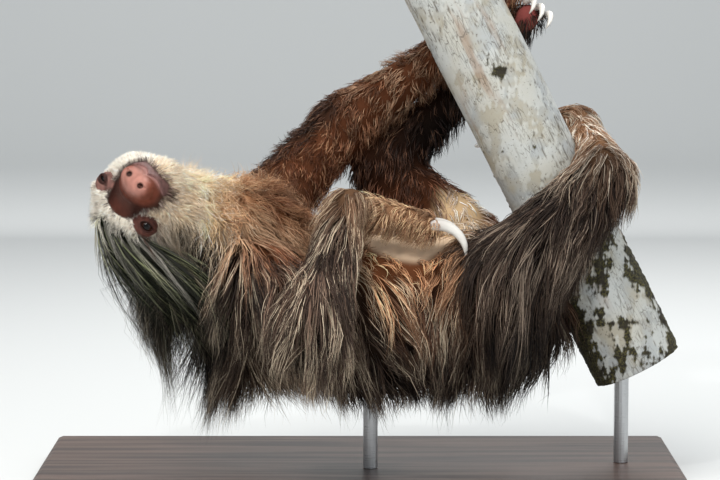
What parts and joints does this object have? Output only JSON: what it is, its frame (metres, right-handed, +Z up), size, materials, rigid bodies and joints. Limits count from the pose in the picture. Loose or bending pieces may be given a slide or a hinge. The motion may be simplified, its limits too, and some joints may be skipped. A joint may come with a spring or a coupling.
{
  "type": "two-toed sloth",
  "caption": "Life-size still model of a two-toed sloth lying on its back and gripping a leaning tree stem, held by a plain display stand.",
  "frame": {"origin": "middle of the underside of the stand's base", "axes": "+Z up, +X from the animal's head towards its rump along the base's long side, -Y the animal's right side, which faces the viewer"},
  "size_m": [0.62, 0.36, 0.5524],
  "materials": {
    "coat": "wet shaggy hair, red-brown at the root, grey-brown to buff at the tips",
    "pale_coat": "short dense cream hair on the face, tan on the throat, olive on the crown",
    "bare_skin": "bare moist skin, pink-brown nose pad, dark purplish brown muzzle",
    "eye": "wet glossy dark brown",
    "claw": "polished ivory horn, greyer towards the root",
    "bark": "pale grey bark with fine cracks, white lichen and dark moss",
    "stand_wood": "dark oiled hardwood",
    "stand_steel": "brushed"
  },
  "bodies": {
    "root": {"head": "pale_coat", "muzzle": "bare_skin", "eye_left": "eye", "eye_right": "eye", "neck": "coat", "trunk": "coat", "arm_left": "coat", "forearm_left": "coat", "hand_left": "coat", "thigh_left": "coat", "shank_left": "coat", "foot_left": "coat", "arm_right": "coat", "forearm_right": "coat", "hand_right": "coat", "thigh_right": "coat", "shank_right": "coat", "foot_right": "coat", "claw_hand_left_1": "claw", "claw_hand_left_2": "claw", "claw_foot_left_1": "claw", "claw_foot_left_2": "claw", "claw_foot_left_3": "claw", "claw_hand_right_1": "claw", "claw_hand_right_2": "claw", "claw_foot_right_1": "claw", "claw_foot_right_2": "claw", "claw_foot_right_3": "claw", "perch_stem": "bark", "stand_base": "stand_wood", "stand_rod_back": "stand_steel", "stand_rod_stem": "stand_steel"}
  },
  "joints": []
}
